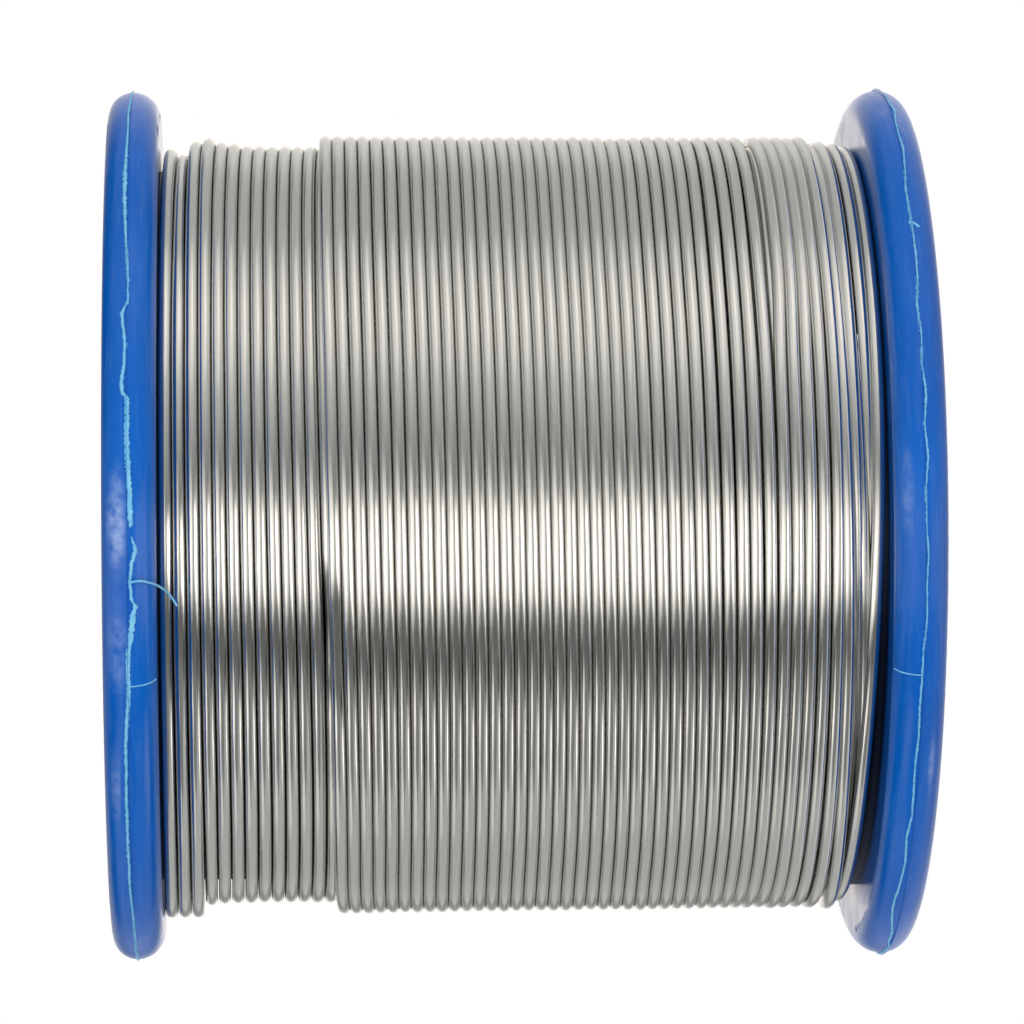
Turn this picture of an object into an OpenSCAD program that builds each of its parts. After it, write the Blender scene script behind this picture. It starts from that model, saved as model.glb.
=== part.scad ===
// Reel of solder wire: a one-piece moulded reel, its winding and the two ends of the wire.
// The reel stands on one flange: +Z is its axis, and the origin is the centre of that end face.
// The winding is one long wire. Its inner layers are a plain core, and the turns that show are
// drawn thicker and fewer than the real ones, each drawn turn standing for two or three.

/* [Reel] */
// Flange diameter, without the parting ridge
flange_d = 64.6; // [62:0.2:70]
// Width over the outer faces of both flanges
reel_w = 59; // [50:0.5:70]
// Thickness of a flange at its rim
rim_t = 3.8; // [3.4:0.1:4.4]
// Radial width of the thick rim
rim_ring_w = 3.6; // [3:0.1:5]
// Distance from the outer face to the crest of the rim
crest_from_face = 1.8; // [1.5:0.1:2.2]
// Height of the parting ridge on the crest
ridge_h = 0.2; // [0.1:0.05:0.3]
// Width of the parting ridge at its foot
ridge_w = 0.12; // [0.1:0.01:0.3]
// Depth of the recess in each end face
recess_d = 2; // [1:0.1:2.2]
// Outside diameter of the barrel that the wire is wound on
barrel_d = 33; // [31:0.5:38]
// Wall of the barrel
barrel_wall = 1.8; // [1.4:0.1:2.2]

/* [Hub] */
// Diameter of the spindle bore
bore_d = 16; // [14:0.5:18]
// Wall of the tube round the bore
bore_wall = 1.6; // [1.2:0.1:2]
// Number of ribs between the bore tube and the barrel
rib_count = 6; // [3:1:8]
// Thickness of a rib
rib_t = 1.4; // [1:0.1:2]
// Thickness of the wall across the barrel at mid length
mid_wall_t = 1.6; // [1:0.1:3]

/* [Wire] */
// Diameter of the real wire
wire_d = 0.9; // [0.7:0.05:1]
// Diameter of the flux core inside the wire
flux_d = 0.34; // [0.25:0.01:0.4]
// Length of the free end that springs off the outer layer
free_end_l = 8; // [5:0.5:9]
// Length of the start tail that lies on the flange
start_tail_l = 13; // [8:0.5:16]
// Diameter of the hole that the start tail comes out of
start_hole_d = 2.2; // [1.8:0.1:2.6]

/* [Winding] */
// Diameter over the outer layer
winding_d = 58; // [54:0.5:59]
// Width of the layer beneath that the outer layer leaves bare
bare_w = 12; // [11.8:0.1:14]
// Diameter of a drawn turn
turn_d = 1.55; // [1.3:0.05:1.55]
// Drawn turns in the outer layer
outer_turns = 18; // [14:1:18]
// Drawn turns in the bare part of the layer beneath
bare_turns = 5; // [3:1:5]

/* [Hidden] */
$fn = 96;

reel_blue = "#175aac";
solder_grey = "#a9a8a2";
flux_amber = "#d9b46a";

flange_r = flange_d / 2;
rim_in_r = flange_r - rim_ring_w;
floor_fillet = 0.6;
edge_round = 0.3;
barrel_r = barrel_d / 2;
barrel_in_r = barrel_r - barrel_wall;
bore_r = bore_d / 2;
tube_r = bore_r + bore_wall;
web_t = rim_t - recess_d;

// One layer of round wire nests in the grooves of the layer beneath
layer_step = wire_d * cos(30);
winding_r = winding_d / 2;
turn_r = turn_d / 2;
RINGS_PER_TURN = 24;
TURN_SIDES = 6;
chord_sink = cos(180 / RINGS_PER_TURN);
low_face = rim_t;
high_face = reel_w - rim_t;
step_z = high_face - bare_w;

outer_path_r = winding_r - turn_r;
bare_path_r = outer_path_r - layer_step;
// The core touches the drawn turns halfway between two rings, where they lie lowest
function core_r(path_r) = (path_r - turn_r) * chord_sink - 0.02;

side_clear = 0.05;
outer_z0 = low_face + turn_r + side_clear;
outer_pitch = (step_z - 0.2 - outer_z0) / outer_turns;
bare_z0 = high_face - turn_r - side_clear;
bare_pitch = (bare_z0 - step_z - turn_r - 0.3) / bare_turns;
bend_r = 1.6;
// Angle round the axis where the outer layer comes up from beneath
outer_start_a = 75;
// Angle where the bare layer comes up at the other flange
bare_start_a = 115;
// Angle of the hole for the start tail
start_hole_a = 40;
start_hole_r = barrel_r + 1.6;

// ---------------------------------------------------------------- reel

// Half of the round crown of a rim, on the side of the crest that keep_low says
module crown_half(r, keep_low) {
    intersection() {
        translate([flange_r - r, crest_from_face]) circle(r = r);
        translate([flange_r - r, keep_low ? 0 : crest_from_face]) square(r);
    }
}

// Section of one flange from the inside of the barrel to the crest, with its outer face at y = 0
module flange_section() {
    outer_crown_r = crest_from_face;
    inner_crown_r = rim_t - crest_from_face;
    crown_in_r = flange_r - inner_crown_r;
    // Web and the inner half of the rim
    translate([barrel_in_r, recess_d]) square([crown_in_r - barrel_in_r, web_t]);
    // Rim with a rounded inner edge
    translate([rim_in_r + edge_round, 0])
        square([flange_r - outer_crown_r - rim_in_r - edge_round, recess_d]);
    translate([rim_in_r, edge_round]) square([edge_round + 0.1, recess_d - edge_round]);
    translate([rim_in_r + edge_round, edge_round]) circle(r = edge_round);
    // Round crown, which turns a little more gently on the side of the winding
    crown_half(outer_crown_r, true);
    crown_half(inner_crown_r, false);
    // Parting ridge on the crest
    polygon([[flange_r - 0.1, crest_from_face - ridge_w / 2],
             [flange_r + ridge_h, crest_from_face],
             [flange_r - 0.1, crest_from_face + ridge_w / 2]]);
    // Fillet between the rim and the floor of the recess
    difference() {
        translate([rim_in_r - floor_fillet, recess_d - floor_fillet])
            square([floor_fillet + 0.1, floor_fillet + 0.1]);
        translate([rim_in_r - floor_fillet, recess_d - floor_fillet]) circle(r = floor_fillet);
    }
}

module flange() {
    rotate_extrude() flange_section();
}

module start_hole() {
    rotate([0, 0, start_hole_a])
        translate([start_hole_r, 0, high_face - 1])
            cylinder(d = start_hole_d, h = web_t + 2);
}

module hub_ribs() {
    rib_l = barrel_in_r - tube_r + 1;
    for (i = [0:rib_count - 1])
        rotate([0, 0, 360 * (i + 0.5) / rib_count])
            translate([tube_r - 0.5, -rib_t / 2, recess_d])
                cube([rib_l, rib_t, reel_w - 2 * recess_d]);
}

module reel() {
    color(reel_blue)
        difference() {
            union() {
                flange();
                translate([0, 0, reel_w]) mirror([0, 0, 1]) flange();
                translate([0, 0, rim_t / 2])
                    difference() {
                        cylinder(r = barrel_r, h = reel_w - rim_t);
                        translate([0, 0, -1]) cylinder(r = barrel_in_r, h = reel_w);
                    }
                translate([0, 0, (reel_w - mid_wall_t) / 2])
                    cylinder(r = barrel_in_r + 0.5, h = mid_wall_t);
                cylinder(r = tube_r, h = reel_w);
                hub_ribs();
            }
            translate([0, 0, -1]) cylinder(r = bore_r, h = reel_w + 2);
            start_hole();
        }
}

// ---------------------------------------------------------------- winding

// A wire path round the axis. It rises square out of the layer beneath, bends over and then
// runs round at a steady pitch, which is negative where it works its way down the axis.
function rise_points(path_r, z) =
    let (foot = path_r - bend_r - turn_d)
    concat([[foot, 0, z]],
           [for (a = [0:30:60]) [path_r - bend_r + bend_r * sin(a), bend_r * (1 - cos(a)), z]]);

function turned(p, a) = [p[0] * cos(a) - p[1] * sin(a), p[0] * sin(a) + p[1] * cos(a), p[2]];

function run_points(path_r, z, pitch, turns) =
    let (lead_a = atan(bend_r / path_r))
    [for (i = [0:turns * RINGS_PER_TURN])
        let (a = 360 * i / RINGS_PER_TURN)
        turned([path_r, 0, z + pitch * i / RINGS_PER_TURN], lead_a + a)];

function all_turned(points, a) = [for (p = points) turned(p, a)];

function mirrored(points) = [for (p = points) [p[0], -p[1], p[2]]];

function unit(v) = v / norm(v);

// Rings of a tube along a path. Each ring stands square to the path. ref is a direction that
// the path never takes, and a quarter turn from it two corners of the ring lie opposite.
function tube_rings(path, ref, r, sides) =
    let (last = len(path) - 1)
    [for (i = [0:last])
        let (t = unit(path[min(i + 1, last)] - path[max(i - 1, 0)]),
             u = unit(ref - (ref * t) * t),
             v = cross(t, u))
        for (k = [0:sides - 1])
            let (a = 360 * (k + 0.5) / sides)
            path[i] + r * (cos(a) * u + sin(a) * v)];

module tube_along(path, ref, r, sides) {
    last = len(path) - 1;
    function at(i, k) = i * sides + k % sides;
    polyhedron(
        points = tube_rings(path, ref, r, sides),
        faces = concat(
            [for (k = [1:sides - 2]) [at(0, 0), at(0, k), at(0, k + 1)]],
            [for (i = [0:last - 1], k = [0:sides - 1]) [at(i, k), at(i + 1, k), at(i + 1, k + 1)]],
            [for (i = [0:last - 1], k = [0:sides - 1]) [at(i, k), at(i + 1, k + 1), at(i, k + 1)]],
            [for (k = [1:sides - 2]) [at(last, 0), at(last, k + 1), at(last, k)]]));
}

// The outer layer: up from beneath at the low flange, round and round, then a straight end
outer_run = run_points(outer_path_r, outer_z0, outer_pitch, outer_turns);
outer_end_a = outer_start_a + atan(bend_r / outer_path_r) + 360 * outer_turns;
outer_end_z = outer_z0 + outer_pitch * outer_turns;
function tangent(a) = [-sin(a), cos(a), 0];
outer_last = turned([outer_path_r, 0, outer_end_z], outer_end_a);
outer_tip = outer_last + turn_d * tangent(outer_end_a);
outer_path = concat(
    all_turned(concat(rise_points(outer_path_r, outer_z0), outer_run), outer_start_a),
    [outer_tip]);

// The bare layer: up from beneath at the high flange, and down again under the outer layer
bare_run = run_points(bare_path_r, bare_z0, -bare_pitch, bare_turns);
bare_end_a = bare_start_a + 2 * atan(bend_r / bare_path_r) + 360 * bare_turns;
bare_end_z = bare_z0 - bare_pitch * bare_turns;
bare_dive = mirrored(rise_points(bare_path_r, bare_end_z));
function reversed(points) = [for (i = [len(points) - 1:-1:0]) points[i]];
bare_path = concat(
    all_turned(concat(rise_points(bare_path_r, bare_z0), bare_run), bare_start_a),
    reversed(all_turned(bare_dive, bare_end_a)));

// Least clear distance between neighbouring turns, measured from ring to ring
function least_gap(path) =
    let (n = len(path), near = RINGS_PER_TURN)
    min([for (i = [0:n - 1], j = [i + near - 6:min(i + near + 6, n - 1)])
        if (j < n) norm(path[i] - path[j])]) - turn_d;

echo(outer_layer_least_gap_mm = least_gap(outer_path));
echo(bare_layer_least_gap_mm = least_gap(bare_path));

// Notch in the core where a wire comes up from the layer beneath or goes down to it
module rise_notch(path_r, z, a, hand) {
    foot = path_r - bend_r - turn_d;
    back = turn_r + 0.1;
    front = 1.2;
    rotate([0, 0, a])
        translate([foot, hand > 0 ? -back : -front, z - turn_r - 0.1])
            cube([turn_d + bend_r, back + front, turn_d + 0.2]);
}

module inner_layers() {
    outer_core_r = core_r(outer_path_r);
    bare_core_r = core_r(bare_path_r);
    color(solder_grey)
        difference() {
            rotate_extrude()
                polygon([[barrel_r, low_face], [outer_core_r, low_face],
                         [outer_core_r, step_z], [bare_core_r, step_z],
                         [bare_core_r, high_face], [barrel_r, high_face]]);
            rise_notch(outer_path_r, outer_z0, outer_start_a, 1);
            rise_notch(bare_path_r, bare_z0, bare_start_a, 1);
            rise_notch(bare_path_r, bare_end_z, bare_end_a, -1);
        }
}

module outer_layer_turns() {
    color(solder_grey) tube_along(outer_path, [0, 0, 1], turn_r, TURN_SIDES);
}

module bare_layer_turns() {
    color(solder_grey) tube_along(bare_path, [0, 0, 1], turn_r, TURN_SIDES);
}

// ---------------------------------------------------------------- ends of the wire

// The start of the wire comes square out of the winding, through the flange, and lies on it
module wire_start() {
    lie_z = high_face + web_t + wire_d / 2 + 0.02;
    bend = 1.2;
    up = [[0, 0, high_face], [0, 0, lie_z - bend]];
    over = [for (a = [30:30:90]) [0, bend * (1 - cos(a)), lie_z - bend + bend * sin(a)]];
    curve_r = start_hole_r + 3;
    lie = [for (i = [1:8])
        let (a = (start_tail_l - bend) * i / 8 / curve_r * 180 / PI)
        [curve_r * (cos(a) - 1), bend + curve_r * sin(a), lie_z]];
    color(solder_grey)
        rotate([0, 0, start_hole_a])
            translate([start_hole_r, 0, 0])
                tube_along(concat(up, over, lie), [1, 0, 0], wire_d / 2, 8);
}

// Places a child at the tip of the outer layer, with the wire's direction along its +Z
module at_outer_tip() {
    translate(outer_tip)
        rotate([0, 0, outer_end_a])
            rotate([-90, 0, 0])
                children();
}

module wire_end() {
    color(solder_grey)
        at_outer_tip()
            difference() {
                cylinder(d = wire_d, h = free_end_l);
                translate([0, 0, -1]) cylinder(d = flux_d, h = free_end_l + 2);
            }
}

module flux_core() {
    color(flux_amber)
        at_outer_tip()
            cylinder(d = flux_d, h = free_end_l);
}

reel();
inner_layers();
bare_layer_turns();
outer_layer_turns();
wire_start();
wire_end();
flux_core();
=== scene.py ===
import bpy
import numpy as np
from mathutils import Matrix, Vector


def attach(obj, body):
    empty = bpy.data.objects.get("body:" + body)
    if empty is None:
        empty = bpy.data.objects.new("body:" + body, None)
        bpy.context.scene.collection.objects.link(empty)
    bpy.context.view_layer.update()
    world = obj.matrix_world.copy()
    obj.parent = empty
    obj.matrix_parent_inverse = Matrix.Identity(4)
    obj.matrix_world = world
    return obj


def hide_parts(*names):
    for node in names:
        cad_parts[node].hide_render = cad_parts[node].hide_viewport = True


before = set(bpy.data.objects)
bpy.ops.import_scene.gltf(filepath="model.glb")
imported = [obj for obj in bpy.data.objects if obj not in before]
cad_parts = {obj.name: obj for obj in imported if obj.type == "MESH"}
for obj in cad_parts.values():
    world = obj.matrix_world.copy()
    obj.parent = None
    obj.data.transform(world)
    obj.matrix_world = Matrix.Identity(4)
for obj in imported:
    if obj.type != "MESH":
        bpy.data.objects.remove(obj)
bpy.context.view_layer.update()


# ---------------------------------------------------------------- Camera
# The reel stands on its low flange, and the camera lies on its side in front of it, level with
# the upper part of the winding, so the reel's top is at the left of its view.

MM = 0.001
LENS_MM, SENSOR_MM = 196.9, 36
CAMERA_PLACE_MM = (0.0, -419.5, 48.04)
YAW, PITCH, ROLL = 0.0451, 0.0021, -0.0056

ahead = Vector((np.sin(PITCH), np.cos(YAW) * np.cos(PITCH), -np.sin(YAW) * np.cos(PITCH)))
level_right = Vector((0, -np.sin(YAW), -np.cos(YAW)))
level_up = level_right.cross(ahead)
right = np.cos(ROLL) * level_right + np.sin(ROLL) * level_up
up = -np.sin(ROLL) * level_right + np.cos(ROLL) * level_up

camera_data = bpy.data.cameras.new("camera")
camera_data.lens = LENS_MM
camera_data.sensor_width = SENSOR_MM
camera_data.clip_start, camera_data.clip_end = 0.01, 20
camera = bpy.data.objects.new("camera", camera_data)
turn = Matrix((right, up, -ahead)).transposed().to_4x4()
camera.matrix_world = Matrix.Translation(Vector(CAMERA_PLACE_MM) * MM) @ turn
bpy.context.scene.collection.objects.link(camera)
bpy.context.scene.camera = camera
bpy.context.scene.view_settings.view_transform = "Standard"


# ---------------------------------------------------------------- Studio
# A light tent stands all round the reel. Its walls are grey and dark cloth, with long soft
# boxes in front of and above the reel, which bright metal shows as bands of light.
# The floor is a pale round table top, and all that the camera sees behind is white.

def srgb(hex_colour):
    """Linear colour of an sRGB hex value such as #175aac. A dark channel is divided by 12.92.
    Any other has 0.055 added, is divided by 1.055 and raised to the power 2.4."""
    part = np.array([int(hex_colour[i:i + 2], 16) for i in (1, 3, 5)]) / 255
    linear = np.where(part <= 0.04045, part / 12.92, ((part + 0.055) / 1.055) ** 2.4)
    return tuple(linear) + (1.0,)


def new_material(name):
    """A named material with an empty node tree, and its tree."""
    material = bpy.data.materials.new(name)
    material.use_nodes = True
    material.node_tree.nodes.clear()
    return material, material.node_tree


def add(tree, kind, settings=None, **inputs):
    """Adds a node. settings go to its properties; inputs go to its sockets by name, with
    underscores for spaces, or by i and their place, as a value or as an output socket to link."""
    node = tree.nodes.new(kind)
    for name, value in (settings or {}).items():
        setattr(node, name, value)
    for name, value in inputs.items():
        if name[0] == "i" and name[1:].isdigit():
            socket = node.inputs[int(name[1:])]
        else:
            socket = node.inputs[name.replace("_", " ")]
        if isinstance(value, bpy.types.NodeSocket):
            tree.links.new(value, socket)
        else:
            socket.default_value = value
    return node


def looked_at(tree):
    """A socket that is 1 for what is seen straight, in gloss or through glass, and 0 for the
    light that falls on things: the largest of Light Path's answers for the three."""
    ray = add(tree, "ShaderNodeLightPath")
    seen = ray.outputs["Is Camera Ray"]
    for kind in ("Is Glossy Ray", "Is Transmission Ray"):
        either = add(tree, "ShaderNodeMath", {"operation": "MAXIMUM"},
                     i0=seen, i1=ray.outputs[kind])
        seen = either.outputs[0]
    return seen


def new_mesh(name, points, faces, smooth=True):
    """A mesh object from an array of points and a list of quads and triangles."""
    mesh = bpy.data.meshes.new(name)
    mesh.from_pydata(points.tolist(), [], faces)
    mesh.polygons.foreach_set("use_smooth", [smooth] * len(mesh.polygons))
    mesh.update()
    made = bpy.data.objects.new(name, mesh)
    bpy.context.scene.collection.objects.link(made)
    return made


def grid_faces(rows, columns, wrap_rows=False):
    """Quads between the neighbours of a grid of points, row after row. Each row joins up with
    itself, and the last row joins the first where wrap_rows says so."""
    i = np.arange(rows if wrap_rows else rows - 1)[:, None]
    j = np.arange(columns)[None, :]
    i2, j2 = (i + 1) % rows, (j + 1) % columns
    quads = [i * columns + j, i * columns + j2, i2 * columns + j2, i2 * columns + j]
    return np.stack(quads, -1).reshape(-1, 4)


def ease(t):
    """A smooth step from 0 to 1 as t goes from 0 to 1: three t squared less two t cubed."""
    return t * t * (3 - 2 * t)


def band(x, low, high, soft):
    """1 between low and high, easing to 0 over the distance soft at each side."""
    rise = np.clip((x - low) / soft + 0.5, 0, 1)
    fall = np.clip((high - x) / soft + 0.5, 0, 1)
    return ease(rise) * ease(fall)


def panel(across, along, low, high, start, end, soft, soft_along):
    """A soft-edged panel of the tent: the product of a band across and a band along."""
    return band(across, low, high, soft) * band(along, start, end, soft_along)


TENT_R = 1.0
TENT_STEPS = 90
TENT_WALL = 0.47
TENT_DARKEST = 0.02


def tent_light(x, y, z):
    """How bright the tent is in the direction (x, y, z) from the reel: a grey wall, and the soft
    boxes and dark cloths added to it. across is the angle towards +X, along is the angle from
    the camera's side over the reel's top, and behind is along without its sign."""
    across = np.degrees(np.arcsin(np.clip(x, -1, 1)))
    along = np.degrees(np.arctan2(z, -y))
    behind = abs(along)
    # Soft boxes in front: two over the reel's top, and two low on the other side
    light = TENT_WALL + 1.9 * panel(across, along, -6, 3, -1, 57, 42, 5)
    light += 1.0 * panel(across, along, -17, -5, 26, 105, 17, 16)
    light += 1.75 * panel(across, along, -17, 4, -100, -31, 6, 7)
    light += 3.0 * panel(across, along, -42, -33, -109, -82, 18, 28)
    # Paler walls and a box towards -X, and pale walls towards +X
    light += 0.54 * panel(across, along, -76, -43, 71, 121, 5, 38)
    light += 1.5 * panel(across, along, -51, -40, 39, 80, 22, 9)
    light += 0.32 * panel(across, along, 27, 102, -95, 71, 30, 63)
    light += 0.4 * panel(across, along, 52, 75, -62, -4, 26, 36)
    # Dark cloths beside the boxes, and the light that gets past the edge of one
    light -= 0.21 * panel(across, along, 7, 42, -83, 156, 4, 14)
    light -= 0.33 * panel(across, along, -45, -21, -81, 116, 10, 6)
    light -= 0.25 * panel(across, along, -83, -46, -37, 118, 4, 20)
    light += 0.38 * panel(across, along, -24, -14, 10, 57, 4, 12)
    # The far side: two dark cloths, then pale walls and a box with a cloth beside it
    light -= 0.84 * panel(across, behind, -35, -24, 74, 151, 20, 29)
    light -= 0.45 * panel(across, behind, 4, 38, 108, 143, 28, 22)
    light += 0.25 * panel(across, behind, -2, 49, 165, 220, 34, 25)
    light += 0.13 * panel(across, behind, -42, -14, 174, 220, 30, 22)
    light += 0.35 * panel(across, behind, -15, 18, 173, 220, 16, 14)
    light += 0.7 * panel(across, behind, -10, 10, 168, 220, 10, 10)
    light -= 0.25 * panel(across, behind, -28, -15, 160, 220, 8, 20)
    return np.maximum(light, TENT_DARKEST)


lat = np.linspace(-np.pi / 2, np.pi / 2, TENT_STEPS + 1)[1:-1, None]
lon = np.linspace(0, 2 * np.pi, 2 * TENT_STEPS, endpoint=False)[None, :]
tent_way = [np.cos(lat) * np.cos(lon), np.cos(lat) * np.sin(lon), np.sin(lat) + 0 * lon]
tent_way = np.stack(tent_way, -1).reshape(-1, 3)
facing_in = grid_faces(TENT_STEPS - 1, 2 * TENT_STEPS)[:, ::-1].tolist()
tent = new_mesh("light_tent", tent_way * TENT_R, facing_in)
glow = tent.data.attributes.new("glow", "FLOAT", "POINT")
glow.data.foreach_set("value", tent_light(*tent_way.T).astype(np.float32))

# White cloth with light behind it: its bright parts look a little warmer than its grey ones.
tent_cloth, tree = new_material("tent_cloth")
tent_glow = add(tree, "ShaderNodeAttribute", {"attribute_name": "glow"})
warmth = add(tree, "ShaderNodeMapRange", Value=tent_glow.outputs["Fac"],
             From_Min=0.35, From_Max=1.1)
warm = add(tree, "ShaderNodeMix", {"data_type": "RGBA"},
           Factor=warmth.outputs[0], i6=srgb("#fcfefb"), i7=srgb("#fff8f0"))
tent_emit = add(tree, "ShaderNodeEmission",
                Color=warm.outputs[2], Strength=tent_glow.outputs["Fac"])
add(tree, "ShaderNodeOutputMaterial", Surface=tent_emit.outputs[0])
tent.data.materials.append(tent_cloth)
tent.visible_camera = False
tent.visible_transmission = False

# Four soft strips, about level with the reel's middle, give the plastic its plain level of light.
LAMP_WATTS = 2.0
LAMP_SIZE = (0.5, 0.12)
LAMPS_AIM = Vector((0, 0, 0.03))
for name, place in (("front_above", (0.48, -0.5, 0.04)), ("front_below", (-0.48, -0.5, 0.04)),
                    ("back_above", (0.5, 0.5, 0.04)), ("back_below", (-0.5, 0.5, 0.04))):
    strip = bpy.data.lights.new("strip_" + name, "AREA")
    strip.energy = LAMP_WATTS
    strip.shape = "RECTANGLE"
    strip.size, strip.size_y = LAMP_SIZE
    lamp = bpy.data.objects.new("strip_" + name, strip)
    lamp.location = place
    lamp.rotation_euler = (LAMPS_AIM - Vector(place)).to_track_quat("-Z", "Y").to_euler()
    lamp.visible_camera = False
    lamp.visible_glossy = False
    bpy.context.scene.collection.objects.link(lamp)

# The room behind the tent looks plain white, and lights things half as much.
ROOM_LIGHT = 0.5
world = bpy.data.worlds.new("white_room")
bpy.context.scene.world = world
world.use_nodes = True
tree = world.node_tree
tree.nodes.clear()
room = add(tree, "ShaderNodeMapRange", Value=looked_at(tree), To_Min=ROOM_LIGHT, To_Max=1.0)
back = add(tree, "ShaderNodeBackground", Color=(1, 1, 1, 1), Strength=room.outputs[0])
add(tree, "ShaderNodeOutputWorld", Surface=back.outputs[0])

FLOOR_HOLE_R, FLOOR_R = 0.001, 0.044
FLOOR_FADE_FROM, FLOOR_FADE_TO = 0.024, 0.042
FLOOR_SHINE = 0.9
FLOOR_RINGS, FLOOR_SIDES = 12, 96
floor_r = np.linspace(FLOOR_HOLE_R, FLOOR_R, FLOOR_RINGS)[:, None]
floor_a = np.linspace(0, 2 * np.pi, FLOOR_SIDES, endpoint=False)[None, :]
floor_points = [floor_r * np.cos(floor_a), floor_r * np.sin(floor_a), 0 * floor_r * floor_a]
floor_points = np.stack(floor_points, -1).reshape(-1, 3)
floor_faces = grid_faces(FLOOR_RINGS, FLOOR_SIDES).tolist()
floor = new_mesh("floor", floor_points, floor_faces, smooth=False)

# Matt white paint, bright enough to look white. The shadow shows on it, and it fades out
# towards its edge.
table_top, tree = new_material("table_top")
place = add(tree, "ShaderNodeTexCoord").outputs["Object"]
from_axis = add(tree, "ShaderNodeVectorMath", {"operation": "LENGTH"}, i0=place)
edge = add(tree, "ShaderNodeMapRange", Value=from_axis.outputs["Value"],
           From_Min=FLOOR_FADE_FROM, From_Max=FLOOR_FADE_TO)
paint = add(tree, "ShaderNodeBsdfDiffuse", Color=srgb("#c8c8c6"))
clear = add(tree, "ShaderNodeBsdfTransparent")
lift = add(tree, "ShaderNodeMath", {"operation": "MULTIPLY"}, i0=looked_at(tree), i1=FLOOR_SHINE)
shine = add(tree, "ShaderNodeEmission", Color=(1, 1, 1, 1), Strength=lift.outputs[0])
both = add(tree, "ShaderNodeAddShader", i0=paint.outputs[0], i1=shine.outputs[0])
faded = add(tree, "ShaderNodeMixShader",
            Fac=edge.outputs[0], i1=both.outputs[0], i2=clear.outputs[0])
add(tree, "ShaderNodeOutputMaterial", Surface=faded.outputs[0])
floor.data.materials.append(table_top)


# ---------------------------------------------------------------- Reel
# One polypropylene moulding: two round-rimmed flanges, the barrel and the hub with its ribs.
# The mould's polish leaves it semi-gloss, with fine scratches round the axis, and pale painted
# highlights on the fronts of the rims where the soft boxes shine.

RIM_TOP_R = 32.3
CLOUD_MM = 8.3333
SCRATCH_MM = (4.1667, 4.1667, 0.3125)
SCRATCH_DEPTH_MM = 0.01
HIGHLIGHT_GRAIN_MM = 0.9091


def per_metre(size_mm):
    """How often a feature of a size in mm fits in a metre, one over the size, which is the
    scale of a pattern on Object coordinates."""
    return 1 / (size_mm * MM)


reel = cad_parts["reel"]
moulded_blue, tree = new_material("moulded_blue_polypropylene")
place = add(tree, "ShaderNodeTexCoord").outputs["Object"]

# Pigment that lies in faint clouds, and fine scratches that run round the axis
mottle = add(tree, "ShaderNodeTexNoise", Vector=place, Scale=per_metre(CLOUD_MM), Detail=3)
blue = add(tree, "ShaderNodeMix", {"data_type": "RGBA"},
           Factor=mottle.outputs["Fac"], i6=srgb("#0050aa"), i7=srgb("#0862c0"))
round_way = add(tree, "ShaderNodeMapping", Vector=place,
                Scale=[per_metre(size) for size in SCRATCH_MM])
scratches = add(tree, "ShaderNodeTexNoise", Vector=round_way.outputs[0],
                Scale=1, Detail=4, Roughness=0.7)
scratched = add(tree, "ShaderNodeMapRange", Value=scratches.outputs["Fac"],
                From_Min=0.5, From_Max=0.8, To_Min=0.0, To_Max=0.12)
worn = add(tree, "ShaderNodeMix", {"data_type": "RGBA"},
           Factor=scratched.outputs[0], i6=blue.outputs[2], i7=srgb("#7fa3da"))

# Painted highlights on the rims: pale patches where the soft boxes shine on the rims' fronts,
# broken up by a grain. For each: its place in mm, its half lengths, and how pale it is.
PAINTED_HIGHLIGHT_PATCHES = (((0.3, -32.1, 57.9), (4.8, 3.0, 0.95), 0.62),
                  ((-8.5, -31.0, 57.8), (5.0, 3.0, 1.1), 0.25),
                  ((-19.0, -26.3, 58.2), (5.5, 4.0, 0.5), 0.30),
                  ((-17.0, -27.2, 0.9), (3.2, 3.0, 0.35), 0.35),
                  ((2.0, -32.1, 3.0), (5.0, 3.0, 0.6), 0.22))
highlight_grain = add(tree, "ShaderNodeTexNoise", Vector=place,
           Scale=per_metre(HIGHLIGHT_GRAIN_MM), Detail=4, Roughness=0.6)
highlight_grain = add(tree, "ShaderNodeMapRange", Value=highlight_grain.outputs["Fac"],
           From_Min=0.36, From_Max=0.66, To_Min=0.15, To_Max=1.0)
painted_highlight = 0.0
for middle, half_sides, pale in PAINTED_HIGHLIGHT_PATCHES:
    to_patch = add(tree, "ShaderNodeMapping", {"vector_type": "TEXTURE"}, Vector=place,
                   Location=Vector(middle) * MM, Scale=Vector(half_sides) * MM)
    out_of = add(tree, "ShaderNodeVectorMath", {"operation": "LENGTH"}, i0=to_patch.outputs[0])
    patch = add(tree, "ShaderNodeMapRange", {"interpolation_type": "SMOOTHSTEP"},
                Value=out_of.outputs["Value"], From_Min=1.0, From_Max=0.1, To_Min=0.0, To_Max=pale)
    either = add(tree, "ShaderNodeMath", {"operation": "MAXIMUM"}, i0=painted_highlight, i1=patch.outputs[0])
    painted_highlight = either.outputs[0]
painted_highlight = add(tree, "ShaderNodeMath", {"operation": "MULTIPLY"}, i0=painted_highlight, i1=highlight_grain.outputs[0])
# Painted highlight: inside the patches the blue is mixed towards pale blue-white.
highlighted = add(tree, "ShaderNodeMix", {"data_type": "RGBA"},
              Factor=painted_highlight.outputs[0], i6=worn.outputs[2], i7=srgb("#b4c8ea"))
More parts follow.
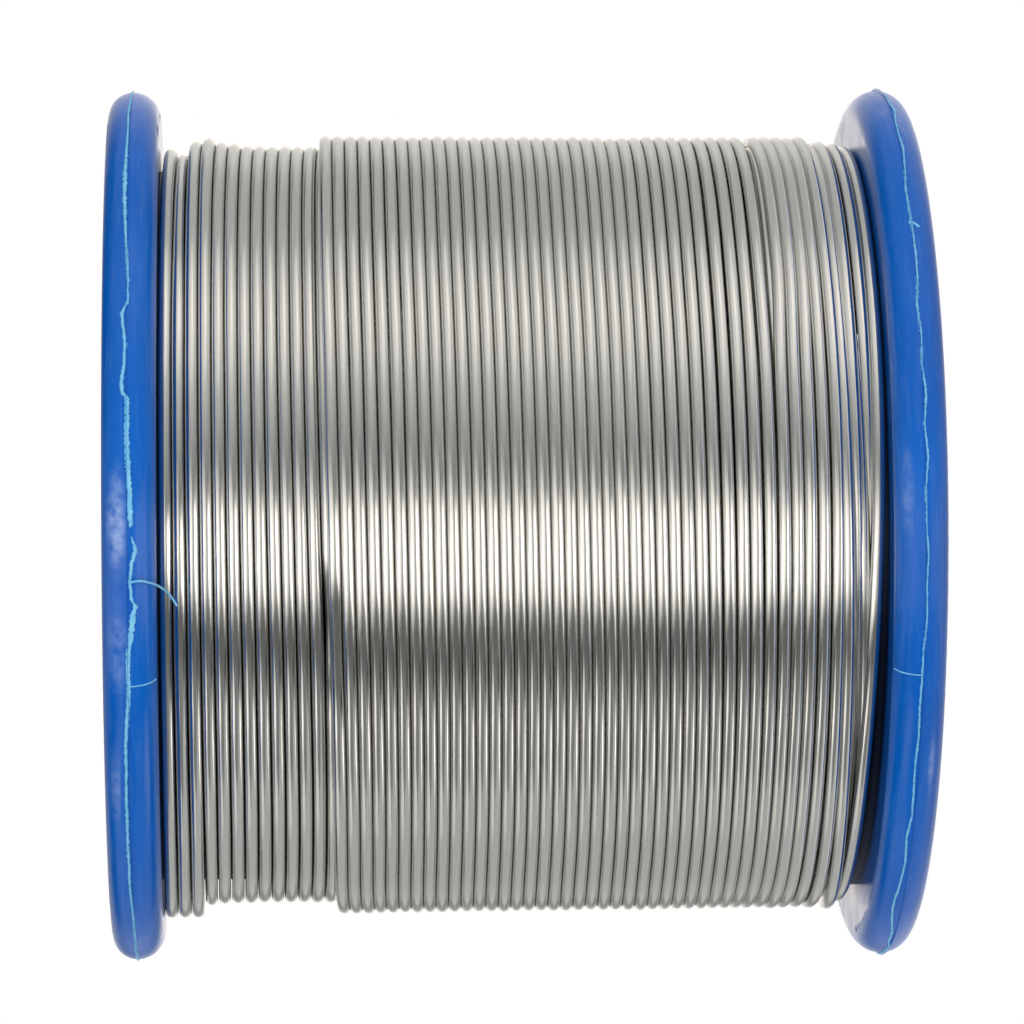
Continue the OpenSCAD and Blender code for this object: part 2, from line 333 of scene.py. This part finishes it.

# The parting line's low ridge is painted a little paler. This is partly painted light, which lifts
# the dark line its shading would draw, and partly the pale look of thin flash.
flat_place = add(tree, "ShaderNodeVectorMath", {"operation": "MULTIPLY"}, i0=place, i1=(1, 1, 0))
from_axis = add(tree, "ShaderNodeVectorMath", {"operation": "LENGTH"}, i0=flat_place.outputs[0])
ridge = add(tree, "ShaderNodeMapRange", Value=from_axis.outputs["Value"],
            From_Min=(RIM_TOP_R + 0.02) * MM, From_Max=(RIM_TOP_R + 0.06) * MM)
tint = add(tree, "ShaderNodeMix", {"data_type": "RGBA"},
           Factor=ridge.outputs[0], i6=highlighted.outputs[2], i7=srgb("#1f70c8"))
dull = add(tree, "ShaderNodeMapRange", Value=scratches.outputs["Fac"],
           From_Min=0.3, From_Max=0.7, To_Min=0.16, To_Max=0.24)
waves = add(tree, "ShaderNodeBump", Height=scratches.outputs["Fac"],
            Distance=SCRATCH_DEPTH_MM * MM, Strength=0.4)
plastic = add(tree, "ShaderNodeBsdfPrincipled", Base_Color=tint.outputs[2],
              Roughness=dull.outputs[0], IOR=1.49, Specular_IOR_Level=0.32,
              Normal=waves.outputs[0])
add(tree, "ShaderNodeOutputMaterial", Surface=plastic.outputs[0])
reel.data.materials.clear()
reel.data.materials.append(moulded_blue)


# ---------------------------------------------------------------- Flash on the rims
# Thin skins of polypropylene that squeezed out where the mould's halves met: a ragged ribbon
# round each rim's crest, lines where the side cores met, a tab and a loose thread.

def unit(v):
    """The vectors of an array, each divided by its length."""
    return v / np.linalg.norm(v, axis=-1, keepdims=True)


def on_reel(r, theta, z):
    """Points at radius r and height z, theta degrees round from the reel's front."""
    angle = np.radians(theta - 90)
    return np.stack([r * np.cos(angle), r * np.sin(angle), z + 0 * theta], -1)


def sweep(name, path, high, wide, ring=False):
    """A closed skin along a path, or round a ring. The corners of its section lie high away from
    the reel's axis and wide to the side, square to the path; both may change along it."""
    n, sides = len(path), np.shape(high)[-1]
    high, wide = np.broadcast_to(high, (n, sides)), np.broadcast_to(wide, (n, sides))
    ahead_way = np.roll(path, -1, 0) - np.roll(path, 1, 0) if ring else np.gradient(path, axis=0)
    ahead_way = unit(ahead_way)
    out = path * (1, 1, 0)
    out = unit(out - (out * ahead_way).sum(-1, keepdims=True) * ahead_way)
    side = np.cross(ahead_way, out)
    points = path[:, None] + high[..., None] * out[:, None] + wide[..., None] * side[:, None]
    points = points.reshape(-1, 3)
    faces = grid_faces(n, sides, wrap_rows=ring)[:, ::-1].tolist()
    if not ring:
        k = np.arange(sides)
        k2 = (k + 1) % sides
        last = (n - 1) * sides
        middles = [points[:sides].mean(0)[None], points[last:].mean(0)[None]]
        points = np.concatenate([points] + middles)
        faces += np.stack([k2, k, 0 * k + n * sides], -1).tolist()
        faces += np.stack([last + k, last + k2, 0 * k + n * sides + 1], -1).tolist()
    return new_mesh(name, points * MM, faces)


def run(at, knots, soft):
    """Straight runs between knots of (place, value), rounded off over the distance soft: the
    mean of the runs at eleven places that far around."""
    places, values = np.array(knots).T
    spread = np.linspace(-0.5, 0.5, 11)
    return sum(np.interp(at + soft * k, places, values) for k in spread) / len(spread)


def rim_r(outward):
    """Radius of a rim's skin, outward mm from its crest towards the outer face. The crown is a
    quarter circle on each side of the crest, of 1.8 mm outward and 2 mm inward."""
    crown = np.where(outward > 0, 1.8, 2.0)
    return RIM_TOP_R - crown + np.sqrt(np.maximum(crown ** 2 - outward ** 2, 0))


# Flash is too thin to hold the pigment's full depth, so it is pale and lets light through its
# folds, with the plastic's soft gloss.
FOLD_MM = 0.625
flash_plastic, tree = new_material("thin_pale_flash")
place = add(tree, "ShaderNodeTexCoord").outputs["Object"]
folds = add(tree, "ShaderNodeTexNoise", Vector=place, Scale=per_metre(FOLD_MM), Detail=2)
thin = add(tree, "ShaderNodeMix", {"data_type": "RGBA"},
           Factor=folds.outputs["Fac"], i6=srgb("#3f9bd6"), i7=srgb("#8fd2ec"))
skin = add(tree, "ShaderNodeBsdfPrincipled", Base_Color=thin.outputs[2], Roughness=0.45, IOR=1.49)
add(tree, "ShaderNodeOutputMaterial", Surface=skin.outputs[0])

CREST_LOW_Z, CREST_HIGH_Z = 1.8, 57.2
RIDGE_R = 32.5

# Where the ribbons run: at theta, how far outward of the crest, and half their width. There is
# no ribbon where the width is below 0.
HIGH_RIM_LINE = (
    (-180, 0), (-68, 0), (-45, 0.24), (-29, 0.23), (-22, 0), (-16, -0.03), (-14.3, -0.2),
    (-10.9, -0.4), (-9.9, -0.6), (-9.2, -0.3), (-6.8, -0.21), (-4.6, -0.35), (-3, -0.63),
    (-1.6, -0.4), (-1.2, -0.3), (1.3, -0.25), (5.6, -0.15), (10.6, -0.05), (15.9, -0.06),
    (16.6, 0.26), (18, 0.33), (20, 0.15), (23, 0.07), (25.4, 0.24), (27.3, 0.35),
    (28.8, -0.04), (32, -0.08), (37.5, 0.04), (46, 0.24), (54, 0.2), (65, 0.16), (86, 0.05),
    (180, 0))
HIGH_RIM_WIDTH = (
    (-180, 0.08), (-68, 0.08), (-30, 0.12), (-15, 0.15), (-12, 0.22), (-9, 0.10), (-3, 0.14),
    (-1.3, 0.05), (-1.2, -0.1), (-0.2, -0.1), (0, 0.17), (16, 0.15), (17, 0.12), (28, 0.12),
    (30, 0.09), (40, 0.11), (50, 0.15), (60, 0.09), (90, 0.08), (180, 0.08))
LOW_RIM_LINE = (
    (-180, 0), (-75, -0.1), (-57, -0.6), (-49.6, -0.29), (-34, -0.2), (-19, -0.04), (-9.7, 0.08),
    (4.4, 0.09), (16.4, 0.12), (26.5, -0.02), (45.6, -0.06), (64.7, 0.18), (90, 0), (180, 0))
LOW_RIM_WIDTH = (
    (-180, 0.05), (-50, 0.08), (0, 0.07), (30, 0.09), (60, 0.08), (180, 0.05))

# A ribbon's section: five corners across, as shares of its half width, and their heights above
# the rim, with the feet a little inside it. Its edges are jagged, and it sways from its line.
FLASH_ACROSS = (-1.2, -0.8, 0, 0.8, 1.2)
FLASH_LIFT = (0.0, 0.10, 0.14, 0.10, 0.0)
FLASH_SUNK = 0.03
FLASH_JAG = 0.14
FLASH_THINNEST = 0.01
FLASH_STEPS = 1500
flash_theta = np.linspace(-180, 180, FLASH_STEPS, endpoint=False)
sway_theta = np.arange(-180, 181, 4)
for name, crest_z, outer_way, line, width, sway, seed in (
        ("flash_high_rim", CREST_HIGH_Z, 1, HIGH_RIM_LINE, HIGH_RIM_WIDTH, 0.02, 4),
        ("flash_low_rim", CREST_LOW_Z, -1, LOW_RIM_LINE, LOW_RIM_WIDTH, 0.07, 5)):
    draw = np.random.default_rng(seed)
    half = np.interp(flash_theta, *np.array(width).T)
    ragged = half * (0.7 + 0.6 * draw.random(FLASH_STEPS))
    middle = np.interp(flash_theta, *np.array(line).T)
    middle = middle + draw.normal(0, FLASH_JAG, FLASH_STEPS) * np.abs(half)
    swaying = draw.normal(0, sway, len(sway_theta))
    middle = middle + np.interp(flash_theta, sway_theta, swaying)
    half_width = np.maximum(ragged, FLASH_THINNEST)[:, None]
    across = middle[:, None] + half_width * FLASH_ACROSS
    lift = (half > 0)[:, None] * FLASH_LIFT - FLASH_SUNK
    height = np.minimum(rim_r(across) + lift, RIDGE_R - 0.01) - RIM_TOP_R
    path = on_reel(RIM_TOP_R, flash_theta, crest_z)
    ribbon = sweep(name, path, height, -outer_way * across, ring=True)
    ribbon.data.materials.append(flash_plastic)
    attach(ribbon, "root")

# The thread and the tab: their thickness, and the theta, height and radius that they pass.
THREADS = (
    ("flash_loose_thread", 0.085, (
        (-7.0, 57.1, 32.38), (-6.7, 56.42, 32.4), (-6.9, 55.88, 32.0), (-7.7, 55.07, 30.9),
        (-8.7, 54.62, 29.6), (-9.7, 54.29, 28.6), (-11.6, 53.75, 28.35))),
    ("flash_tab", 0.11, (
        (40.9, 2.0, 32.32), (40.9, 1.7, 32.38), (40.6, 1.4, 32.26), (40.3, 1.2, 32.2))))
circle = np.linspace(0, 2 * np.pi, 8, endpoint=False)
for name, radius, knots in THREADS:
    at = np.linspace(0, len(knots) - 1, 40)
    theta, z, r = (run(at, list(enumerate(column)), 0.9) for column in zip(*knots))
    path = on_reel(r, theta, z)
    thread = sweep(name, path, radius * np.cos(circle), radius * np.sin(circle))
    thread.data.materials.append(flash_plastic)
    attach(thread, "root")

# The side cores met at two angles, and left a line on each rim from its crest to its inner edge.
SEAM_R = 0.05
SEAM_RUN = (-0.05, 1.9)
for rim, crest_z, outer_way, thetas in (("low", CREST_LOW_Z, -1, (-19.4, 160.6)),
                                        ("high", CREST_HIGH_Z, 1, (-20.2, 159.8))):
    for k, theta in enumerate(thetas):
        inward = np.linspace(*SEAM_RUN, 24)
        path = on_reel(rim_r(-inward) - 0.01, theta + 0 * inward, crest_z - outer_way * inward)
        seam = sweep("side_core_line_%s_%d" % (rim, k), path,
                     SEAM_R * np.cos(circle), SEAM_R * np.sin(circle))
        seam.data.materials.append(flash_plastic)
        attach(seam, "root")


# ---------------------------------------------------------------- Core of the winding
# The layers of solder that lie under the two that show, wound like them from the same wire.
# Only the dark between the outer turns shows of it, so its colour is painted shade: almost black
# with a navy tint, in lighter and darker bands at the turn pitch.

# A wave texture goes through one wave in a full circle over 20 and over its scale.
TURN_PITCH_MM = 0.9133
WAVE_FACTOR = 20

inner_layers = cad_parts["inner_layers"]
solder_painted_shade, tree = new_material("solder_painted_shade")
place = add(tree, "ShaderNodeTexCoord").outputs["Object"]
# Painted shade: near-black bands at the turn pitch, lighter and darker, stand in for the shading of
# turns in the gaps.
turn_shade_bands = add(tree, "ShaderNodeTexWave", {"bands_direction": "Z"}, Vector=place,
            Scale=2 * np.pi / WAVE_FACTOR * per_metre(TURN_PITCH_MM))
shade = add(tree, "ShaderNodeMix", {"data_type": "RGBA"},
            Factor=turn_shade_bands.outputs["Fac"], i6=srgb("#121724"), i7=srgb("#343b4e"))
metal = add(tree, "ShaderNodeBsdfPrincipled", Base_Color=shade.outputs[2],
            Metallic=1.0, Roughness=0.4)
add(tree, "ShaderNodeOutputMaterial", Surface=metal.outputs[0])
inner_layers.data.materials.clear()
inner_layers.data.materials.append(solder_painted_shade)


# ---------------------------------------------------------------- Outer layer of solder wire
# Drawn wire of tin-lead solder, 0.9 mm thick, wound side by side under light tension. The
# turns press on each other, but the winder left steps and gaps near the low flange.

WIRE_R = 0.45
PRESSED_HALF_WIDTH = 0.456
SECTION_R = 0.469
WIRE_SIDES = 16
RINGS_PER_TURN = 112


def wire_along(name, path, neck=1.0):
    """Solder wire along a path. Its section is a circle that its neighbours press flat at two
    sides, and it may neck down along the path. An attribute holds the length along the wire and
    the place in its section, in mm."""
    a = np.linspace(0, 2 * np.pi, WIRE_SIDES, endpoint=False)
    high = SECTION_R * np.cos(a) + WIRE_R - SECTION_R
    wide = np.clip(SECTION_R * np.sin(a), -PRESSED_HALF_WIDTH, PRESSED_HALF_WIDTH)
    wire = sweep(name, path, np.multiply.outer(neck, high), np.multiply.outer(neck, wide))
    length = np.concatenate([[0], np.cumsum(np.linalg.norm(np.diff(path, axis=0), axis=-1))])
    drawn = np.zeros((len(wire.data.vertices), 3), np.float32)
    drawn[:-2, 0] = np.repeat(length, WIRE_SIDES)
    drawn[:-2, 1:] = np.tile(np.stack([high, wide], -1), (len(path), 1))
    drawn[-1, 0] = length[-1]
    mark = wire.data.attributes.new("drawn", "FLOAT_VECTOR", "POINT")
    mark.data.foreach_set("vector", drawn.ravel())
    return wire


def wander(t, seed, size, span):
    """A smooth seeded wander of about size along t: the Catmull-Rom curve through normal random
    numbers that stand span apart."""
    draw = np.random.default_rng(seed)
    knots = draw.normal(0, 1, int(np.ceil((t.max() - t.min()) / span)) + 5)
    x = (t - t.min()) / span + 1
    i = x.astype(int)
    f = x - i
    p0, p1, p2, p3 = (knots[i - 1], knots[i], knots[i + 1], knots[i + 2])
    bend = 2 * p0 - 5 * p1 + 4 * p2 - p3 + f * (3 * (p1 - p2) + p3 - p0)
    return size * (p1 + 0.5 * f * (p2 - p0 + f * bend))


def swell(theta, middle, reach):
    """A smooth hump over an angle: half of one more than a cosine, 1 at its middle and 0 from
    reach away, all in degrees."""
    away = np.abs((theta - middle + 180) % 360 - 180) / reach
    return np.where(away < 1, 0.5 + 0.5 * np.cos(np.pi * np.minimum(away, 1)), 0)


# How the wire reaches the low flange and starts the outer layer: at theta, the height and the
# distance of its centre from the reel's axis. theta counts on from turn to turn.
LOW_END_Z = (
    (-1230, 6.1), (-1137, 6.1), (-1097, 5.95), (-1080, 6.05), (-1070, 6.2), (-1027, 6.28),
    (-840, 6.2), (-808, 5.7), (-777, 5.15), (-737, 5.2), (-720, 5.2), (-700, 5.28), (-667, 5.3),
    (-417, 5.3), (-400, 5.2), (-386, 5.08), (-377, 4.95), (-360, 4.6), (-345, 4.42), (-307, 4.4),
    (-180, 4.3), (-57, 6.33), (-24, 6.62), (20, 6.92), (53, 7.06), (180, 7.2), (303, 7.2),
    (334, 7.45), (372, 7.47), (413, 7.73), (540, 8.0), (663, 8.29))
LOW_END_R = (
    (-1230, 27.2), (-1137, 27.2), (-1097, 27.5), (-1080, 27.8), (-1068, 28.15), (-980, 28.1),
    (-900, 27.95), (-840, 27.6), (-808, 27.3), (-777, 26.85), (-737, 26.9), (-720, 27.2),
    (-700, 27.95), (-620, 27.95), (-540, 27.7), (-480, 27.6), (-445, 28.0), (-417, 28.4),
    (-377, 28.3), (-360, 28.1), (-345, 27.9), (-307, 27.7), (-180, 27.7), (-145, 28.3),
    (-120, 28.6), (-100, 28.6), (-57, 28.5), (10, 28.35), (50, 28.0), (120, 28.0), (250, 28.5))
LOW_END_SOFT = 40
LOW_FACE_Z = 3.8
FACE_GAP = 0.02

# After it the turns follow a helix. u counts them from an angle at the front: at u, the helix's
# height, how far the front of a turn lies above it, and how far some are pushed on from there.
COUNT_FROM = -57
RISE = ((0, 6.33), (2, 8.29), (3, 9.26), (8, 13.79), (39, 42.24), (41, 44.07))
LIFT = ((1, 0), (3.6, 0), (5.6, 0.06), (6.6, 0.25), (8.5, 0.36), (10.5, 0.56), (15.4, 0.64),
        (25, 0.51), (33, 0.49), (38.5, 0.62))
PUSHED = ((1.3, 0), (2.2, 0), (3.2, -0.15), (4.2, -0.22), (5.2, -0.30), (5.6, -0.30), (6, 0.05))
HELIX_FROM, HELIX_OVER = 413, 180
OUTER_R = 28.53
CONE_START, CONE_SLOPE = 0.11, 0.006
OUTER_FIRST_THETA = -1187
OUTER_TURNS = 39
LAST_FRONT_TURN = 38.6
LAST_TURN_SINKS = 0.33

# Behind the reel the wire leaves the layer for its free end.
END_THETA = 168.24
END_R, END_Z = 28.225, 43.0
TAIL_TURNS = 0.22

turns_end = OUTER_TURNS + (END_THETA - COUNT_FROM) / 360
u = np.arange((OUTER_FIRST_THETA - COUNT_FROM) / 360, turns_end, 1 / RINGS_PER_TURN)
u = np.append(u[:-1], turns_end)
theta = COUNT_FROM + 360 * u
way = (theta + 180) % 360 - 180
tilt = run(u, LIFT, 0.6) * (swell(theta, 32, 105) - 0.85 * swell(theta, -105, 45))
apart = run(u, PUSHED, 0.2) * band(way, 31, 150, 22)
laid = run(theta, LOW_END_Z, LOW_END_SOFT)
helix = run(u, RISE, 0.3) + tilt + apart
begun = np.clip((theta - HELIX_FROM) / HELIX_OVER, 0, 1)
tail = np.clip((u - turns_end) / TAIL_TURNS + 1, 0, 1)
z = laid + (helix - laid) * ease(begun)
z = np.maximum(z, LOW_FACE_Z + WIRE_R + FACE_GAP)
z = z + (END_Z - z[-1]) * ease(tail)
r = run(theta, LOW_END_R, LOW_END_SOFT) + (OUTER_R - LOW_END_R[-1][1]) * begun
r = r + CONE_START * begun - CONE_SLOPE * (END_Z - z) * begun
r = r + wander(u, seed=3, size=0.010, span=0.35) + wander(u, seed=13, size=0.025, span=0.04)
r = r - LAST_TURN_SINKS * swell(theta, -17, 13) * (u > LAST_FRONT_TURN)
r = r + (END_R - r) * tail * tail
outer_path = on_reel(r, theta, z)

# The last 1.55 mm stand off along the tangent. The wire then runs on, a little thinner, inside
# the free end.
STRAIGHT_ON = np.array([0.5, 1.0, 1.55, 1.6, 2.1, 2.6])
RINGS_INSIDE = 3
NECK = 0.93
end_angle = np.radians(END_THETA - 90)
tangent = np.array([-np.sin(end_angle), np.cos(end_angle), 0])
outer_path = np.concatenate([outer_path, outer_path[-1] + STRAIGHT_ON[:, None] * tangent])
neck = np.ones(len(outer_path))
neck[-RINGS_INSIDE:] = NECK
outer_wire = wire_along("outer_layer_wire", outer_path, neck)

# Solder keeps the bright skin that the drawing die gave it, with streaks along the wire that blur
# what it mirrors. Towards the grooves between turns its colour is painted darker grey, as painted
# shade, and it is rougher there.
# The die's streaks are finer than this: they are drawn as wide as they need to show.
STREAKS_PER_MM = (0.22, 14, 14)
PATCHES_PER_MM = 0.35
STREAK_DEPTH_MM = 0.01
bright_solder, tree = new_material("bright_drawn_solder")
drawn = add(tree, "ShaderNodeAttribute", {"attribute_name": "drawn"}).outputs["Vector"]
long_way = add(tree, "ShaderNodeMapping", Vector=drawn, Scale=STREAKS_PER_MM)
streaks = add(tree, "ShaderNodeTexNoise", Vector=long_way.outputs[0],
              Scale=1, Detail=4, Roughness=0.7)
patches = add(tree, "ShaderNodeTexNoise", Vector=drawn, Scale=PATCHES_PER_MM, Detail=2)
tone = add(tree, "ShaderNodeMix", {"data_type": "RGBA"},
           Factor=streaks.outputs["Fac"], i6=srgb("#dbdcd9"), i7=srgb("#f0f0ee"))
# Painted shade: towards the sides of each turn's section, where the grooves lie, the colour darkens
# to dark grey.
in_section = add(tree, "ShaderNodeSeparateXYZ", Vector=drawn)
off_crown = add(tree, "ShaderNodeMath", {"operation": "ABSOLUTE"}, i0=in_section.outputs["Z"])
groove_painted_shade = add(tree, "ShaderNodeMapRange", {"interpolation_type": "SMOOTHSTEP"},
             Value=off_crown.outputs[0], From_Min=0.28, From_Max=0.46, To_Min=0.0, To_Max=0.22)
tone = add(tree, "ShaderNodeMix", {"data_type": "RGBA"},
           Factor=groove_painted_shade.outputs[0], i6=tone.outputs[2], i7=srgb("#5c5b5a"))
gloss = add(tree, "ShaderNodeMapRange", Value=patches.outputs["Fac"],
            From_Min=0.3, From_Max=0.7, To_Min=0.09, To_Max=0.16)
lines = add(tree, "ShaderNodeBump", Height=streaks.outputs["Fac"],
            Distance=STREAK_DEPTH_MM * MM, Strength=0.5)
duller = add(tree, "ShaderNodeMapRange", Value=off_crown.outputs[0],
             From_Min=0.22, From_Max=0.46, To_Min=0.0, To_Max=0.1)
gloss = add(tree, "ShaderNodeMath", {"operation": "ADD"}, i0=gloss.outputs[0], i1=duller.outputs[0])
metal = add(tree, "ShaderNodeBsdfPrincipled", Base_Color=tone.outputs[2], Metallic=1.0,
            Roughness=gloss.outputs[0], Normal=lines.outputs[0])
add(tree, "ShaderNodeOutputMaterial", Surface=metal.outputs[0])
outer_wire.data.materials.append(bright_solder)
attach(outer_wire, "root")
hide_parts("outer_layer_turns")


# ---------------------------------------------------------------- Layer beneath, left bare
# The same solder wire, one layer down. It comes up at the high flange and winds down the other
# way. The outer layer stops short of the flange, so its last dozen turns are in the open.

LAYER_STEP = 0.78
HIGH_FACE_Z = 55.2
BARE_START_THETA = -155
BARE_HIGH_Z = 54.58
BARE_PITCH = 0.982
HIDDEN_PITCH = 0.94
LAST_BARE_TURN = 13.6
HIDDEN_LOW_Z = 4.9
HIDDEN_SINKS = 0.07
LEAN_START, LEAN_PER_TURN = 0.29, 0.057

# How the turns stand off their layer near the flange: at u, in mm, at two places round the reel.
HEIGHT_ABOVE = ((0, 0), (0.41, 0), (1, -0.2), (1.41, -0.5), (1.9, 0), (2.41, 0.55), (3.41, 0.8),
                (4.41, 0.4), (5.41, 0.3), (6.41, 0.15), (8, 0.1))
HEIGHT_BELOW = ((0, 1.1), (2, 1.1), (3, 0))

# Turns that lie deeper at one place: which, where round the reel, how far round, how deep.
SUNKEN = ((12.12, -15, 13, 0.6), (11.63, END_THETA, 45, 0.45))

# The first turns are tight, but stand up at one place: which, where, and how far they sink
# beside it.
CROWNED = ((0, -4, 0.45), (1, -9, 0.25))

first = (BARE_START_THETA - COUNT_FROM) / 360
last_bare_z = BARE_HIGH_Z - BARE_PITCH * LAST_BARE_TURN
turns_below = LAST_BARE_TURN + (last_bare_z - HIDDEN_LOW_Z) / HIDDEN_PITCH
u = np.arange(first, turns_below, 1 / RINGS_PER_TURN)
theta = COUNT_FROM + 360 * u
hidden = np.maximum(u - LAST_BARE_TURN, 0)
z = BARE_HIGH_Z - BARE_PITCH * u + (LEAN_START + LEAN_PER_TURN * u) * swell(theta, 45, 110)
z = z + (BARE_PITCH - HIDDEN_PITCH) * hidden - LEAN_PER_TURN * hidden * swell(theta, 45, 110)
z = np.clip(z, LOW_FACE_Z + WIRE_R + FACE_GAP, HIGH_FACE_Z - WIRE_R - FACE_GAP)
r = OUTER_R - LAYER_STEP - HIDDEN_SINKS * np.minimum(hidden, 1)
r = r + wander(u, seed=8, size=0.012, span=0.35) + wander(u, seed=14, size=0.025, span=0.04)
for which, middle, reach, depth in SUNKEN:
    r = r - depth * swell(theta, middle, reach) * (abs(u - which) < 0.3)
r = r + run(u, HEIGHT_ABOVE, 0.3) * swell(theta, 85, 70)
r = r + run(u, HEIGHT_BELOW, 0.5) * swell(theta, -92, 60)
for which, crown, depth in CROWNED:
    near = abs(u - which - (crown - COUNT_FROM) / 360) < 0.25
    r = r - depth * near * (swell(theta, crown, 62) - swell(theta, crown, 20))
bare_wire = wire_along("bare_layer_wire", on_reel(r, theta, z))
bare_wire.data.materials.append(bright_solder)
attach(bare_wire, "root")
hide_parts("bare_layer_turns")


# ---------------------------------------------------------------- Ends of the wire
# The start of the wire comes out of a hole in the high flange and lies on it, and its free end
# stands off the outer layer. Both are the same drawn solder, cut square.

for node in ("wire_start", "wire_end"):
    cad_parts[node].data.materials.clear()
    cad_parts[node].data.materials.append(bright_solder)


# ---------------------------------------------------------------- Flux core
# Rosin flux that fills a fine bore all along the wire, put in when the wire was extruded. It
# only shows at the cut ends, as an amber dot, slightly cloudy and glossy.

FLUX_CLOUD_MM = 0.25
flux, tree = new_material("amber_rosin_flux")
place = add(tree, "ShaderNodeTexCoord").outputs["Object"]
cloud = add(tree, "ShaderNodeTexNoise", Vector=place, Scale=per_metre(FLUX_CLOUD_MM), Detail=2)
amber = add(tree, "ShaderNodeMix", {"data_type": "RGBA"},
            Factor=cloud.outputs["Fac"], i6=srgb("#b98a3c"), i7=srgb("#e0bd78"))
rosin = add(tree, "ShaderNodeBsdfPrincipled",
            Base_Color=amber.outputs[2], Roughness=0.25, IOR=1.54)
add(tree, "ShaderNodeOutputMaterial", Surface=rosin.outputs[0])
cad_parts["flux_core"].data.materials.clear()
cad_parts["flux_core"].data.materials.append(flux)
